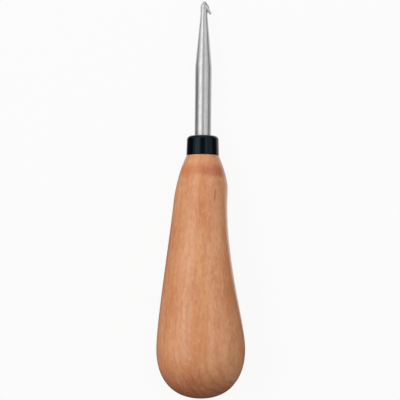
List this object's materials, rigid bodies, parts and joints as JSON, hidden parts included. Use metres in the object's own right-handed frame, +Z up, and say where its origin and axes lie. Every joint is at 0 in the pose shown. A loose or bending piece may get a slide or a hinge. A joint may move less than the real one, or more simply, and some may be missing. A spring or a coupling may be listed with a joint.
{
  "type": "rug hook",
  "caption": "Hand tool for hooked rugs: oval wooden bulb handle with a thumb rest, black ferrule, and a steel shank tapering to a barbed hook.",
  "frame": {"origin": "middle of the footprint, on the surface that the tool lies on", "axes": "+Z up from that surface, +Y along the tool towards the hook, +X towards the side that the hook's mouth opens to"},
  "size_m": [0.0322, 0.1436, 0.0292],
  "materials": {
    "lacquered_wood": "clear satin lacquer over fine-grained reddish-brown wood",
    "black_ferrule": "glossy black",
    "polished_steel": "polished, with very fine lines along the shank",
    "cured_adhesive": "clear amber cured adhesive, hidden in the handle"
  },
  "bodies": {
    "root": {"handle": "lacquered_wood", "ferrule": "black_ferrule", "hook_shank": "polished_steel", "tang_adhesive": "cured_adhesive"}
  },
  "joints": []
}
